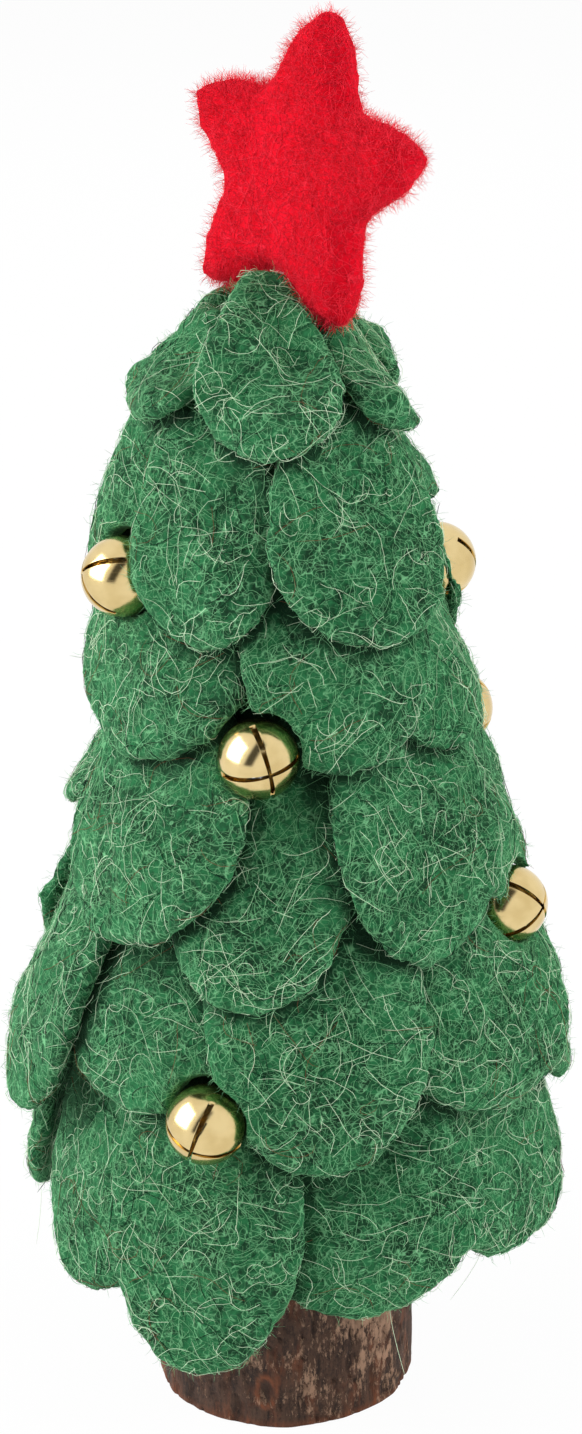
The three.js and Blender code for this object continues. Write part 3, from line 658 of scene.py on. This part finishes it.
class Skin:
    """The outside of some pieces, on which fibres are strewn."""

    def __init__(self, pieces, seed):
        points, triangles, start = [], [], 0
        for made in pieces:
            mesh = made.data
            mesh.calc_loop_triangles()
            corners = np.empty(len(mesh.loop_triangles) * 3, dtype=np.int64)
            mesh.loop_triangles.foreach_get("vertices", corners)
            points.append(points_of(mesh))
            triangles.append(corners.reshape(-1, 3) + start)
            start += len(mesh.vertices)
        self.points = np.concatenate(points)
        self.triangles = np.concatenate(triangles)
        self.tree = BVHTree.FromPolygons(self.points.tolist(), self.triangles.tolist())
        a, b, c = (self.points[self.triangles[:, k]] for k in range(3))
        cross = np.cross(b - a, c - a)
        size = np.linalg.norm(cross, axis=1)
        self.normals = cross / size[:, None]
        self.shares = size / size.sum()
        self.random = np.random.default_rng(seed)
        self.bells = bell_middles()
        self.log_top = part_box("trunk_log")[1].z

    def fuzz_shares(self):
        """Shares that put more hairs on the rims of the petals and beside the bells."""
        middles = self.points[self.triangles].mean(axis=1)
        out = middles * (1, 1, 0)
        out /= np.linalg.norm(out, axis=1)[:, None]
        rim = 1 - np.abs((self.normals * out).sum(axis=1))
        near = ways_from(self.bells, middles)[1].min(axis=1) < BELL_HAIRS_TO
        shares = self.shares * (1 + RIM_HAIRS * rim**2 + BELL_HAIRS * near)
        return shares / shares.sum()

    def spots(self, count, room, shares=None):
        """Random bare places on the skin, each with its outward direction. room is the free way over it."""
        start = 0.2 * MM
        shares = self.shares if shares is None else shares
        found = []
        while len(found) < count:
            for index in self.random.choice(len(self.triangles), size=count, p=shares):
                weights = self.random.dirichlet((1, 1, 1))
                at = Vector(weights @ self.points[self.triangles[index]])
                outward = Vector(self.normals[index])
                if self.tree.ray_cast(at + outward * start, outward, room)[0] is None:
                    found.append((at, outward))
        return found[:count]

    def clear(self, points):
        """Whether a fibre keeps off the bells, the room behind them for their shanks, and the log."""
        places = np.array(points)
        ways, gaps = ways_from(self.bells, places)
        inward = self.bells * (-1, -1, 0)
        inward /= np.linalg.norm(inward, axis=1)[:, None]
        behind = (ways * inward[None]).sum(axis=2) > SHANK_ROOM_FROM
        inside = np.linalg.norm(places[:, :2], axis=1) < LOG_FIBRE_FROM
        beside_log = inside & (places[:, 2] < self.log_top + MM)
        in_shank_room = behind & (gaps < SHANK_FIBRE_FROM)
        return not (np.any(gaps < FIBRE_FROM) or np.any(in_shank_room) or np.any(beside_log))

    def curl(self, at, outward, span, steps, bend, lift):
        """A fibre that wanders over the skin in loose curls, and here and there stands up from it. Over an
        edge it sinks by a share of the way down."""
        farthest, sink, lowest, highest = 0.9 * MM, 0.3, 0.04 * MM, 2.2
        heading = outward.orthogonal().normalized()
        heading.rotate(Matrix.Rotation(self.random.uniform(0, 2 * math.pi), 3, outward))
        turn = self.random.normal() * bend
        rise = self.random.uniform(0.1, 1) * lift
        points = [at + outward * rise]
        for _ in range(steps):
            turn = 0.75 * turn + 0.65 * self.random.normal() * bend
            heading.rotate(Matrix.Rotation(turn, 3, outward))
            reach = at + heading * (span / steps)
            nearest, normal, _, gap = self.tree.find_nearest(reach)
            if gap < farthest:
                at, outward = nearest, normal
            else:
                at = reach + (nearest - reach) * sink
            heading = (heading - outward * heading.dot(outward)).normalized()
            rise = max(lowest, rise + self.random.normal() * 0.3 * lift)
            rise = min(rise, highest * lift)
            points.append(at + outward * rise)
        return points

    def stray(self, size):
        """A random direction of a random length."""
        return Vector(self.random.normal(size=3)) * size

    def hair(self, at, outward, span, steps):
        """A short hair that stands up and leans over, and leans towards a bell that it stands beside."""
        root = 0.05 * MM
        lean = self.stray(0.45)
        to_bells = self.bells - np.array(at)
        gaps = np.linalg.norm(to_bells, axis=1)
        if gaps.min() < LEANING_TO:
            lean += Vector(to_bells[gaps.argmin()]).normalized() * 0.9
        heading = (outward + lean).normalized()
        bend = self.stray(0.4)
        points = [at - outward * root]
        for _ in range(steps):
            points.append(points[-1] + heading * (span / steps))
            heading = (heading + bend).normalized()
        return points

    def curls(self, count, span, lift=0.22 * MM, steps=11):
        """Curly fibres, some nearly straight and some tightly curled."""
        made = []
        for at, outward in self.spots(count, 4 * MM):
            bend = 0.42 * self.random.choice((0.2, 0.45, 0.8, 1.4))
            made.append(self.curl(at, outward, span * self.random.uniform(0.45, 1.5), steps, bend, lift))
        return list(filter(self.clear, made))

    def hairs(self, count, span):
        made = []
        for at, outward in self.spots(count, 1.5 * MM, self.fuzz_shares()):
            made.append(self.hair(at, outward, span * self.random.uniform(0.4, 1.6), steps=2))
        return list(filter(self.clear, made))

    def drooping(self, count, span, steps=8):
        """Long hairs that have come loose from the lowest rims, and hang down."""
        heights = self.points[self.triangles].mean(axis=1)[:, 2]
        low = self.shares * (self.normals[:, 2] < -0.5) * (heights < LOWEST_RIMS_TO)
        weight = Vector((0, 0, -0.2))
        made = []
        for at, outward in self.spots(count, 4 * MM, low / low.sum()):
            away = Vector((at.x, at.y, 0)).normalized()
            heading = outward + away * 0.3 + self.stray(0.4)
            bend = self.stray(0.16)
            points = [at]
            for _ in range(steps):
                heading = (heading.normalized() + bend + weight).normalized()
                points.append(points[-1] + heading * (span / steps))
            made.append(points)
        return list(filter(self.clear, made))


def mark_crease_shade(pieces):
    """Marks how far the felt above a place shades it, for the painted shade of the felt: from 1 close under a
    rim to 0 in the open.
    """
    tree = Skin(pieces, 0).tree
    clearance = 0.5 * MM
    for made in pieces:
        mesh = made.data
        shades = np.zeros(len(mesh.vertices))
        for index, vertex in enumerate(mesh.vertices):
            out = Vector((vertex.co.x, vertex.co.y, 0)).normalized()
            if vertex.normal.dot(out) < 0:
                continue
            start = vertex.co + vertex.normal * clearance
            side = Vector((-out.y, out.x, 0))
            lifted = out + Vector((0, 0, 0.4))
            for way in (out + Vector((0, 0, 2.2)), out + UP, lifted + side, lifted - side):
                gap = tree.ray_cast(start, way.normalized(), SHADE_REACH)[3]
                if gap is not None:
                    shades[index] += SHADE_PER_RAY * (1 - gap / SHADE_REACH)
        mesh.attributes.new("crease", "FLOAT", "POINT").data.foreach_set("value", np.minimum(shades, 1))


def strand_section(radius):
    """The three-cornered section of a strand."""
    curve = bpy.data.curves.new("section", "CURVE")
    spline = curve.splines.new("POLY")
    spline.points.add(2)
    for corner, point in enumerate(spline.points):
        turn = -2 * math.pi * corner / 3
        point.co = (radius * math.cos(turn), radius * math.sin(turn), 0, 1)
    spline.use_cyclic_u = True
    return linked("section", curve)


def strands_object(name, strands, radius, material):
    """One mesh of thin strands, each of which tapers to its ends."""
    root_width, tip_width = 0.8, 0.35
    section = strand_section(radius)
    curve = bpy.data.curves.new(name, "CURVE")
    curve.dimensions = "3D"
    curve.bevel_mode = "OBJECT"
    curve.bevel_object = section
    curve.use_fill_caps = True
    for points in strands:
        spline = curve.splines.new("POLY")
        spline.points.add(len(points) - 1)
        places = np.ones((len(points), 4))
        places[:, :3] = points
        spline.points.foreach_set("co", places.ravel())
        taper = np.ones(len(points))
        taper[0] = root_width
        taper[-1] = tip_width
        spline.points.foreach_set("radius", taper)
    made = linked(name, curve)
    graph = bpy.context.evaluated_depsgraph_get()
    mesh = bpy.data.meshes.new_from_object(made.evaluated_get(graph), depsgraph=graph)
    for used in (made, section):
        shape = used.data
        bpy.data.objects.remove(used)
        bpy.data.curves.remove(shape)
    strewn = new_object(name, mesh, material)
    mesh.shade_smooth()
    return strewn


# ---- Operators


class FELTTREE_OT_petals(bpy.types.Operator):
    """Turns each plain petal of the frame into a soft felt petal"""

    bl_idname = "felt_tree.petals"
    bl_label = "Felt Petals"

    def execute(self, context):
        values = settings("felt")
        felt = felt_finish("green_felt", values.green_dark, values.green, values.green_light, 0.85)
        petals = []
        for node in PETAL_NODES:
            made = welded_copy(node, node.replace("petal_", "soft_petal_"), felt)
            soften(made, values.grain, values.softness)
            roughen(made, values.drift, values.lump, swell=0.12 * MM)
            finish_piece(made, replaces=[node])
            petals.append(made)
        mark_crease_shade(petals)
        return {"FINISHED"}


class FELTTREE_OT_star(bpy.types.Operator):
    """Turns the plain star of the frame into a puffy felt star"""

    bl_idname = "felt_tree.star"
    bl_label = "Felt Star"

    def execute(self, context):
        values = settings("felt")
        felt = felt_finish("red_felt", values.red_dark, values.red, values.red_light, 0.4)
        made = welded_copy("felt_star", "soft_star", felt)
        soften(made, values.grain, values.softness)
        roughen(made, 0.2 * values.drift, values.lump, swell=0.35 * MM)
        finish_piece(made, replaces=["felt_star"])
        return {"FINISHED"}


class FELTTREE_OT_fibres(bpy.types.Operator):
    """Strews curly wool fibres and short hairs over the petals and the star"""

    bl_idname = "felt_tree.fibres"
    bl_label = "Wool Fibres"

    def strew(self, name, strands, radius, material, most=1500, slot="green_felt"):
        """Makes the pieces of one kind of fibre, with at most so many strands in each of them."""
        for index, start in enumerate(range(0, len(strands), most)):
            made = strands_object(f"{name}_{index + 1}", strands[start : start + most], radius, material)
            finish_piece(made)

    def execute(self, context):
        values = settings("fibres")
        petals = [made for made in bpy.data.objects if made.name.startswith("soft_petal_")]
        skin = Skin([*petals, frame["nodes"]["foam_core"]], values.seed)
        span, radius = values.curl_length, values.curl_radius
        pale = plain_finish("pale_fibres", values.pale, 0.7, gloss=0.2)
        middle = plain_finish("green_fibres", values.middle, 0.7, gloss=0.2)
        deep = plain_finish("deep_fibres", values.deep, 0.8, gloss=0.1)
        brown = plain_finish("brown_fibres", values.brown, 0.8, gloss=0.1)
        rosy = plain_finish("rosy_fibres", values.rosy, 0.8, gloss=0.1)
        curls = skin.curls(values.pale_count, span * 0.8, lift=0.36 * MM, steps=8)
        curls += skin.drooping(values.drooping_count, 1.2 * span)
        self.strew("pale_fibres", curls, radius, pale)
        curls = skin.curls(values.middle_count, span * 0.65, lift=0.28 * MM, steps=6)
        self.strew("green_fibres", curls, radius, middle, 2500)
        curls = skin.curls(values.deep_count, span * 0.6, steps=5)
        self.strew("deep_fibres", curls, radius * 1.4, deep, 2500)
        curls = skin.curls(values.brown_count, span, steps=8)
        self.strew("brown_fibres", curls, radius, brown)
        hairs = skin.hairs(values.fuzz_count, values.fuzz_length)
        self.strew("green_hairs", hairs, values.fuzz_radius, middle, 6000)
        star = Skin([bpy.data.objects["soft_star"]], values.seed + 1)
        curls = star.curls(values.star_count, span * 0.6, steps=7)
        self.strew("star_fibres", curls, radius * 0.8, rosy, slot="red_felt")
        hairs = star.hairs(values.star_fuzz_count, values.fuzz_length * 1.1)
        self.strew("star_hairs", hairs, values.fuzz_radius, rosy, 6000, "red_felt")
        return {"FINISHED"}


def slit_cutter(values, turn):
    """A solid in the shape of four crossed wedges, which open the slits from the pole down to their ends."""
    bm = bmesh.new()
    reach = values.radius * math.sin(values.slit_reach)
    bottom = values.radius * math.cos(values.slit_reach)
    tip, tip_side = reach + values.slit_end * 0.35, values.slit_end * 0.32
    outline = []
    for arm in range(4):
        azimuth = turn + arm * math.pi / 2
        along = Vector((math.cos(azimuth), math.sin(azimuth), 0))
        across = Vector((-math.sin(azimuth), math.cos(azimuth), 0))
        for distance, side in (
            (values.slit_middle / 2, -values.slit_middle / 2),
            (reach, -values.slit_end / 2),
            (tip, -tip_side),
            (tip, tip_side),
            (reach, values.slit_end / 2),
        ):
            outline.append(bm.verts.new(along * distance + across * side + Vector((0, 0, bottom))))
    face = bm.faces.new(outline)
    grown = bmesh.ops.extrude_face_region(bm, geom=[face])["geom"]
    tops = [item for item in grown if isinstance(item, bmesh.types.BMVert)]
    bmesh.ops.translate(bm, verts=tops, vec=(0, 0, 2 * values.radius))
    bmesh.ops.recalc_face_normals(bm, faces=bm.faces)
    return object_from(bm, "slit_cutter")


def bell_shell(name, values, place, turn, material):
    """A thin polished shell with crossed slits, rolled lips and a wire loop on its back."""
    bm = bmesh.new()
    bmesh.ops.create_uvsphere(bm, u_segments=72, v_segments=44, radius=values.radius)
    inner = bmesh.ops.create_uvsphere(bm, u_segments=48, v_segments=32, radius=values.radius - values.wall)
    inner_faces = {face for vertex in inner["verts"] for face in vertex.link_faces}
    bmesh.ops.reverse_faces(bm, faces=list(inner_faces))
    shell = object_from(bm, name, material)
    cutter = slit_cutter(values, turn)
    slits = shell.modifiers.new("slits", "BOOLEAN")
    adjust(slits, operation="DIFFERENCE", solver="EXACT", object=cutter)
    lips = shell.modifiers.new("lips", "BEVEL")
    adjust(lips, width=values.lip, segments=2, limit_method="ANGLE", angle_limit=math.radians(40))
    bake_modifiers(shell)
    bpy.data.objects.remove(cutter)
    bm = bmesh.new()
    bm.from_mesh(shell.data)
    wire = bmesh.ops.create_circle(bm, segments=12, radius=SHANK_WIRE, cap_ends=False)["verts"]
    bmesh.ops.rotate(bm, verts=wire, cent=(0, 0, 0), matrix=Matrix.Rotation(math.pi / 2, 3, "X"))
    centre = Vector((0, 0, -values.radius))
    start = centre + Vector((0, 0, SHANK_LOOP))
    bmesh.ops.translate(bm, verts=wire, vec=start)
    bmesh.ops.rotate(bm, verts=wire, cent=start, matrix=Matrix.Rotation(math.pi / 2, 3, "Z"))
    edges = list({edge for vertex in wire for edge in vertex.link_edges})
    bmesh.ops.spin(
        bm, geom=wire + edges, cent=centre, axis=(1, 0, 0), angle=2 * math.pi, steps=28, use_merge=True
    )
    bm.transform(place)
    bm.to_mesh(shell.data)
    bm.free()
    shell.data.shade_smooth()
    shell.data.set_sharp_from_angle(angle=math.radians(50))
    return shell


class FELTTREE_OT_bells(bpy.types.Operator):
    """Makes the polished shells and the loose balls of the jingle bells"""

    bl_idname = "felt_tree.bells"
    bl_label = "Jingle Bells"

    def execute(self, context):
        values = settings("bells")
        gold = gold_finish(values)
        steel = plain_finish("polished_steel", values.steel, 0.2, metallic=1.0)
        for name, place in bell_places().items():
            turn = math.radians(SLIT_TURNS[name])
            shell = bell_shell("gold_" + name, values, place, turn, gold)
            finish_piece(shell, body=name, replaces=[name + "_shell"])
            low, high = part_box(name + "_jinglet")
            bm = bmesh.new()
            bmesh.ops.create_uvsphere(bm, u_segments=28, v_segments=18, radius=values.ball)
            bmesh.ops.translate(bm, verts=bm.verts, vec=(low + high) / 2)
            ball = object_from(bm, name + "_ball", steel)
            ball.data.shade_smooth()
            finish_piece(ball, body=name + "_ball", replaces=[name + "_jinglet"])
        return {"FINISHED"}


def oval(azimuth, level, middle_azimuth, middle_level, half_width, half_height):
    """How far out in an oval on the bark a place is: 0 in its middle and 1 on its rim. The oval's azimuth is
    in degrees, and its sizes are in millimetres."""
    across = (azimuth - math.radians(middle_azimuth)) * 20.6 / half_width
    return math.hypot(across, (level / MM - middle_level) / half_height)


def bark_marks(azimuth, level):
    """How deep in a crack of the bark a place is, how worn it is and how much it belongs to the knot, each
    from 0 to 1."""
    across = Vector((math.sin(azimuth), -math.cos(azimuth), 0)) * 20
    tall = across / 2.4 + Vector((0, 0, level / MM / 11))
    wave = noise.noise(tall + Vector((5, 1, 2))) + 0.5 * noise.noise(tall * 2.3)
    crack = max(0.0, 1 - abs(wave) / 0.12)
    patches = (1.3, 1, 35, 17, 4.2, 2.4), (1.1, 1, 38, 10, 1.0, 8), (0.9, 1, -12, 12, 4, 2)
    patches += (0.8, 1, 12, 7, 2, 5), (0.9, 0.7, 52, 14, 3.5, 16)
    pale = max(strength - oval(azimuth, level, *patch) * fall for strength, fall, *patch in patches)
    ring = oval(azimuth, level, -8, 6.5, 1.5, 2.7)
    knot = max(0.0, 1 - abs(ring - 1) / 0.28)
    if ring < 1.3:
        crack = 0.2 * crack + max(0.0, 1 - ring / 0.9)
    return crack, min(1.0, max(0.0, pale)), knot


class FELTTREE_OT_log(bpy.types.Operator):
    """Makes the log with cracked bark and sawn ends"""

    bl_idname = "felt_tree.log"
    bl_label = "Log"

    def execute(self, context):
        values = settings("log")
        low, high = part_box("trunk_log")
        height = high.z - low.z
        margin = 0.6 * MM
        bm = bmesh.new()
        bmesh.ops.create_cone(
            bm, cap_ends=True, cap_tris=False, segments=220, radius1=LOG_RADIUS, radius2=LOG_RADIUS,
            depth=height,
        )
        bmesh.ops.translate(bm, verts=bm.verts, vec=(0, 0, height / 2))
        rims = [edge for edge in bm.edges if abs(edge.verts[0].co.z - edge.verts[1].co.z) < 0.1 * MM]
        bmesh.ops.bevel(
            bm, geom=rims, offset=values.edge, segments=4, profile=0.5, affect="EDGES", material=-1
        )
        for level in np.linspace(values.edge + margin, height - values.edge - margin, LOG_RINGS):
            bmesh.ops.bisect_plane(
                bm, geom=[*bm.verts, *bm.edges, *bm.faces], plane_co=(0, 0, level), plane_no=UP
            )
        caps = [face for face in bm.faces if abs(face.normal.z) > 0.999 and len(face.verts) > 4]
        for face in bm.faces:
            face.material_index = 0
        for cap in caps:
            cap.material_index = 1
            bmesh.ops.inset_region(bm, faces=[cap], thickness=0.8 * MM)
        for name in BARK_MARKS:
            bm.verts.layers.float.new(name)
        layers = [bm.verts.layers.float[name] for name in BARK_MARKS]
        for vertex in bm.verts:
            out = Vector((vertex.co.x, vertex.co.y, 0))
            way = math.atan2(out.y, out.x)
            marks = bark_marks(math.atan2(out.x, -out.y), vertex.co.z)
            crack, _, knot = marks
            side = min(1.0, max(0.0, (out.length - (LOG_RADIUS - values.edge)) / values.edge))
            wave = 0.5 * math.sin(3 * way + 1) + 0.3 * math.sin(7 * way) + 0.2 * math.sin(12 * way + 2)
            at = Vector((vertex.co.x, vertex.co.y, vertex.co.z * 0.4)) / BARK_GRAIN
            rough = noise.noise(at) * BARK_ROUGHNESS
            shift = BARK_WAVE * wave + side * (rough - crack * values.crack + knot * KNOT_RIM)
            vertex.co += out.normalized() * shift if out.length > 0 else Vector()
            for layer, mark in zip(layers, marks):
                vertex[layer] = mark
        made = object_from(bm, "bark_log", bark_finish(values), wood_finish("sawn_wood", values))
        made.data.shade_smooth()
        made.data.set_sharp_from_angle(angle=math.radians(60))
        finish_piece(made, replaces=["trunk_log"])
        paint(frame["nodes"]["trunk_peg"].data, wood_finish("peg_wood", values))
        return {"FINISHED"}


class FELTTREE_OT_core(bpy.types.Operator):
    """Gives the cone inside the tree its foam"""

    bl_idname = "felt_tree.core"
    bl_label = "Foam Cone"

    def execute(self, context):
        paint(frame["nodes"]["foam_core"].data, foam_finish())
        return {"FINISHED"}


def lamp(name, power, size, at, towards, mirrored=False):
    """A soft square lamp, which shows in polished metal only where that is asked for."""
    made = linked(name, adjust(bpy.data.lights.new(name, "AREA"), energy=power, size=size))
    adjust(made, location=at, visible_glossy=mirrored)
    made.rotation_euler = (Vector(towards) - Vector(at)).to_track_quat("-Z", "Y").to_euler()


class FELTTREE_OT_stage(bpy.types.Operator):
    """Sets up the white floor, the soft lamps and the camera"""

    bl_idname = "felt_tree.stage"
    bl_label = "Stage"

    def floor(self):
        """A wide floor that glows white to the eye, and takes a little shadow."""
        half_width, drop, glow_share = 8, 0.05 * MM, 0.96
        bm = bmesh.new()
        bmesh.ops.create_grid(bm, x_segments=1, y_segments=1, size=half_width)
        bmesh.ops.translate(bm, verts=bm.verts, vec=(0, 0, -drop))
        finish = Finish("white_floor")
        finish.shader(Base_Color=(0.93, 0.93, 0.93), Roughness=0.9, Specular_IOR_Level=0.1)
        glow = finish.node("ShaderNodeEmission", None, {"Color": (1, 1, 1), "Strength": 1.0})
        shaded = Wire(finish, finish.own("BSDF_PRINCIPLED").outputs[0])
        mixed = finish.node("ShaderNodeMixShader", None, {0: finish.seen() * glow_share, 1: shaded, 2: glow})
        finish.tree.links.new(mixed.socket, finish.own("OUTPUT_MATERIAL").inputs["Surface"])
        object_from(bm, "floor", finish.owner)

    def world(self, ambient):
        """White to the eye and dimmer as a light, with a dark strip that only polished metal mirrors."""
        across, facing, darkness = (0.82, -0.45, -0.35), (-0.48, -0.88, 0), 0.94
        world = bpy.data.worlds.new("studio")
        bpy.context.scene.world = world
        finish = Finish("studio", world)
        background = finish.own("BACKGROUND")
        background.inputs["Color"].default_value = (1, 1, 1, 1)
        seen = finish.seen()
        direction = finish.node("ShaderNodeTexCoord", output="Generated")
        strip = 1 - finish.along(direction, across).size().between(0.14, 0.26)
        strip = strip * finish.along(direction, facing).between(0.1, 0.35)
        strip = strip * finish.node("ShaderNodeLightPath", output="Is Glossy Ray")
        strength = (1 - seen) * ambient + seen * (1 - strip * darkness)
        finish.tree.links.new(strength.socket, background.inputs["Strength"])

    def camera(self, values):
        camera = bpy.data.cameras.new("camera")
        adjust(camera, sensor_fit="VERTICAL", sensor_height=36, lens=values.lens)
        adjust(camera, clip_start=0.01, clip_end=50)
        made = linked("camera", camera)
        made.location = (values.sideways, -values.distance, values.height)
        made.rotation_euler = (math.pi / 2 - values.pitch, 0, 0)
        bpy.context.scene.camera = made

    def execute(self, context):
        values = settings("stage")
        self.floor()
        self.world(values.ambient)
        self.camera(values)
        lamp("key", values.key, size=0.95, at=(-0.92, -0.22, 0.56), towards=(0, 0, 0.08), mirrored=True)
        lamp("fill", values.fill, size=0.8, at=(0.98, -0.2, 0.5), towards=(0, 0, 0.08))
        lamp("back", values.fill * 0.3, size=0.7, at=(0.1, 0.9, 0.7), towards=(0, 0, 0.1))
        context.scene.view_settings.view_transform = "Standard"
        return {"FINISHED"}


class FELTTREE_PT_panel(bpy.types.Panel):
    """Lists the steps of the tree and their settings"""

    bl_idname = "FELTTREE_PT_panel"
    bl_label = "Felt Tree"
    bl_space_type = "VIEW_3D"
    bl_region_type = "UI"
    bl_category = "Felt Tree"

    def draw(self, context):
        for operator in OPERATORS:
            self.layout.operator(operator.bl_idname)
        for part in GROUPS:
            box = self.layout.box()
            box.label(text=part.capitalize())
            values = settings(part)
            for name in values.__annotations__:
                box.prop(values, name)


GROUPS = {
    "felt": FELTTREE_PG_felt,
    "fibres": FELTTREE_PG_fibres,
    "bells": FELTTREE_PG_bells,
    "log": FELTTREE_PG_log,
    "stage": FELTTREE_PG_stage,
}

OPERATORS = (
    FELTTREE_OT_stage,
    FELTTREE_OT_core,
    FELTTREE_OT_log,
    FELTTREE_OT_petals,
    FELTTREE_OT_star,
    FELTTREE_OT_bells,
    FELTTREE_OT_fibres,
)


def register():
    for kind in (*GROUPS.values(), *OPERATORS, FELTTREE_PT_panel):
        bpy.utils.register_class(kind)
    for part, group in GROUPS.items():
        setattr(bpy.types.Scene, "felt_tree_" + part, PointerProperty(type=group))


def unregister():
    for part in GROUPS:
        delattr(bpy.types.Scene, "felt_tree_" + part)
    for kind in (FELTTREE_PT_panel, *reversed(OPERATORS), *GROUPS.values()):
        bpy.utils.unregister_class(kind)


def main():
    register()
    for operator in OPERATORS:
        name = operator.bl_idname.split(".")[1]
        getattr(bpy.ops.felt_tree, name)()


if __name__ == "__main__":
    main()
